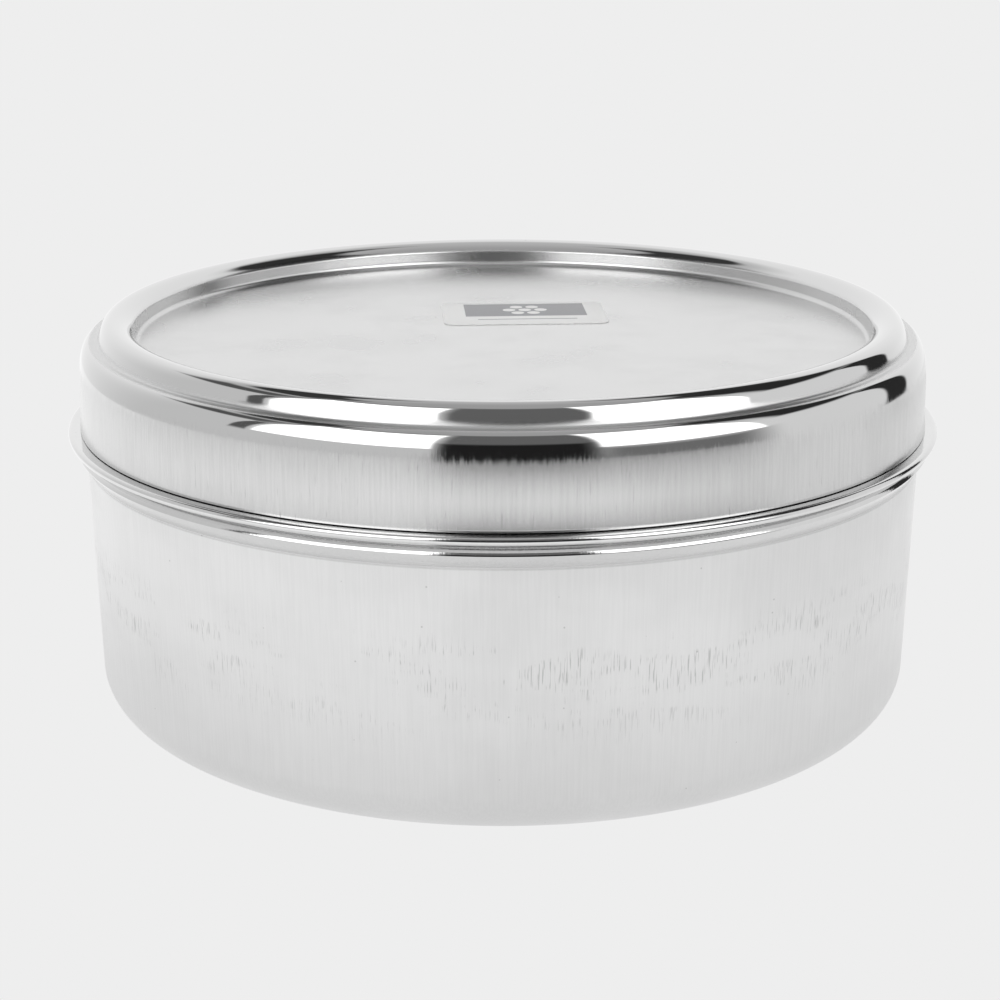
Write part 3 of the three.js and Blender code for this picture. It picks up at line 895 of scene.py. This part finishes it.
class SPICEBOX_OT_stage(bpy.types.Operator):
    """Lays the floor, sets the studio's lights round the box and places the camera"""
    bl_idname = "spice_box.stage"
    bl_label = "Stage"

    CAMERA, CAMERA_TILT = (0, -0.5644, 0.2182), 16.628
    LENS, SENSOR, SHIFT = 81.42, 36, -0.0027
    FLOOR_RADIUS, FLOOR_HEIGHT = 0.6, -0.0005
    ROOM_RADIUS, ROOM_MIDDLE, BACK = 0.75, 0.09, (0, 0.95, 0.31)

    # Where each of these changes starts and ends, and the brightness at its start and its end:
    # metres from the box, metres to the right, share of the way to BACK, share of the way up.
    # The floor's two are painted shade: the floor glows less near the box and towards the right.
    FLOOR_SHADE, FLOOR_RIGHT = (0.1, 0.22, 0.86, 1.07), (0.12, 0.28, 1.0, 0.84)
    ROOM_BACK, CEILING = (0.1, 0.9, 0.72, 1.02), (0.62, 0.8, 1.0, 0.64)

    # Light panels and dark gaps of the studio: azimuth from the camera and elevation of the
    # middle, their half sizes in degrees, brightness, and softness of the edge as a share.
    CARDS = (
        ("Left dark band", -90, 41, 24, 6, 0.11, 0.35),
        ("Left edge band", -44, 55, 24, 5, 0.35, 0.5),
        ("Left beam", -114, 59.5, 44, 8, 0.05, 0.2),
        ("Right beam", 120, 55, 42, 10, 0.04, 0.2),
        ("Right wall", 92, 8, 30, 24, 0.88, 0.3),
        ("Right dark band", 102, 45, 24, 15, 0.03, 0.2),
        ("Right dark post", 119, 10, 6.5, 20, 0.03, 0.15),
        ("Right low shade", 43, 1, 22, 9, 0.2, 0.4),
        ("Left soft box", -40, 32, 23, 21, 2.3, 0.04),
        ("Left box side", -67.5, 22, 2.5, 12, 0.12, 0.2),
        ("Right soft box", 45, 35, 22, 23, 2.3, 0.04),
        ("Gap over the boxes", 4, 48, 18, 8, 0.4, 0.4),
        ("Gap between the boxes", 4, 22, 19, 34, 0.16, 0.12),
        ("Camera and stand", 3, 4, 18, 18, 0.018, 0.16),
    )

    def execute(self, context):
        scene = context.scene
        backdrop = [*scene.spice_box.finishes.backdrop, 1]
        scene.view_settings.view_transform = "Standard"
        self.floor(backdrop)
        self.room()
        world = bpy.data.worlds.new("backdrop")
        world.use_nodes = True
        world.node_tree.nodes["Background"].inputs["Color"].default_value = backdrop
        scene.world = world
        alone()
        bpy.ops.object.camera_add(location=self.CAMERA,
                                  rotation=(math.radians(90 - self.CAMERA_TILT), 0, 0))
        camera = context.object
        camera.data.lens = self.LENS
        camera.data.sensor_width = self.SENSOR
        camera.data.shift_x = self.SHIFT
        scene.camera = camera
        return {"FINISHED"}

    def lamp(self, piece, name, strength, seen=None):
        """Makes a piece of the studio glow by a pattern, and look even where it is seen."""
        made = bpy.data.materials.new(name)
        made.use_nodes = True
        made.cycles.emission_sampling = "NONE"
        tree = made.node_tree
        tree.nodes.clear()
        place = node(tree, "ShaderNodeTexCoord", "Place", {}).outputs["Object"]
        shown = node(tree, "ShaderNodeEmission", "Light",
                     {"Color": (1, 1, 1, 1), "Strength": strength(tree, place)})
        if seen:
            rays = node(tree, "ShaderNodeLightPath", "Rays", {}).outputs["Is Camera Ray"]
            plain = node(tree, "ShaderNodeEmission", "Seen", {"Color": seen, "Strength": 1.0})
            shown = node(tree, "ShaderNodeMixShader", "Sheet", {0: rays, 1: shown, 2: plain})
            side = node(tree, "ShaderNodeNewGeometry", "Side", {}).outputs["Backfacing"]
            clear = node(tree, "ShaderNodeBsdfTransparent", "Clear from below", {})
            shown = node(tree, "ShaderNodeMixShader", "One side", {0: side, 1: shown, 2: clear})
        node(tree, "ShaderNodeOutputMaterial", "Output", {0: shown})
        piece.data.materials.append(made)

    def floor(self, backdrop):
        """A round pale sheet that glows, with painted shade that makes it glow a little less close
        to the box and at the right.
        """
        alone()
        bpy.ops.mesh.primitive_circle_add(vertices=96, radius=self.FLOOR_RADIUS, fill_type="NGON",
                                          location=(0, 0, self.FLOOR_HEIGHT))
        floor = bpy.context.object
        floor.name = "floor"

        def strength(tree, place):
            radius = vector(tree, "LENGTH", "From the box", place)
            near = ramp(tree, "Shade of the box", radius, *self.FLOOR_SHADE)
            sides = node(tree, "ShaderNodeSeparateXYZ", "Sides", {0: place})
            right = ramp(tree, "Dimmer right side", sides.outputs["X"], *self.FLOOR_RIGHT)
            return calc(tree, "MULTIPLY", "Floor light", near, right)

        self.lamp(floor, "glowing_floor_with_painted_shade", strength, backdrop)

    def room(self):
        """The studio round the box: a pale room with the light panels and dark gaps on it."""
        alone()
        bpy.ops.mesh.primitive_uv_sphere_add(segments=64, ring_count=32, radius=self.ROOM_RADIUS,
                                             location=(0, 0, self.ROOM_MIDDLE))
        room = bpy.context.object
        room.name = "room"
        room.visible_camera = False

        def strength(tree, place):
            way = vector(tree, "NORMALIZE", "Direction", place)
            parts = node(tree, "ShaderNodeSeparateXYZ", "Parts", {0: way})
            front = calc(tree, "MULTIPLY", "Front", parts.outputs["Y"], -1.0)
            azimuth = calc(tree, "ARCTAN2", "Azimuth", parts.outputs["X"], front)
            elevation = calc(tree, "ARCSINE", "Elevation", parts.outputs["Z"])
            angles = node(tree, "ShaderNodeCombineXYZ", "Angles", {"X": azimuth, "Y": elevation})
            behind = vector(tree, "DOT_PRODUCT", "Behind", way, self.BACK)
            light = calc(tree, "MULTIPLY", "Room and ceiling",
                         ramp(tree, "Pale room", behind, *self.ROOM_BACK),
                         ramp(tree, "Dimmer ceiling", parts.outputs["Z"], *self.CEILING))
            for label, *place_and_size, brightness, soft in self.CARDS:
                across, up, half_across, half_up = map(math.radians, place_and_size)
                most = rectangle(tree, label, angles, (across, up), (half_across, half_up))
                inside = ramp(tree, label, most, 1 + soft, 1 - soft)
                light = node(tree, "ShaderNodeMix", label, {0: inside, 2: light, 3: brightness},
                             data_type="FLOAT")
            return light

        self.lamp(room, "studio_room", strength)


# ---------------------------------------------------------------- panel and registration


class SPICEBOX_PT_pieces(bpy.types.Panel):
    """Lists the pieces and their settings"""
    bl_idname = "SPICEBOX_PT_pieces"
    bl_label = "Spice box"
    bl_space_type = "VIEW_3D"
    bl_region_type = "UI"
    bl_category = "Spice box"

    def draw(self, context):
        settings = context.scene.spice_box
        for operator in OPERATORS:
            self.layout.operator(operator.bl_idname)
        for name in SpiceBoxSettings.__annotations__:
            group = getattr(settings, name)
            column = self.layout.box().column()
            for key in type(group).__annotations__:
                column.prop(group, key)


SETTINGS = (BoxSizes, LidSizes, CupSizes, PlateSizes, SpoonSizes, LabelSizes, Finishes,
            SpiceBoxSettings)
OPERATORS = (SPICEBOX_OT_box, SPICEBOX_OT_lid, SPICEBOX_OT_label, SPICEBOX_OT_cups,
             SPICEBOX_OT_plate, SPICEBOX_OT_ring, SPICEBOX_OT_spoons, SPICEBOX_OT_stage)


def register():
    for made in (*SETTINGS, *OPERATORS, SPICEBOX_PT_pieces):
        bpy.utils.register_class(made)
    bpy.types.Scene.spice_box = PointerProperty(type=SpiceBoxSettings)


def unregister():
    del bpy.types.Scene.spice_box
    for made in reversed((*SETTINGS, *OPERATORS, SPICEBOX_PT_pieces)):
        bpy.utils.unregister_class(made)


def main():
    """Makes every piece and the studio."""
    register()
    for operator in OPERATORS:
        group, name = operator.bl_idname.split(".")
        getattr(getattr(bpy.ops, group), name)()


if __name__ == "__main__":
    main()
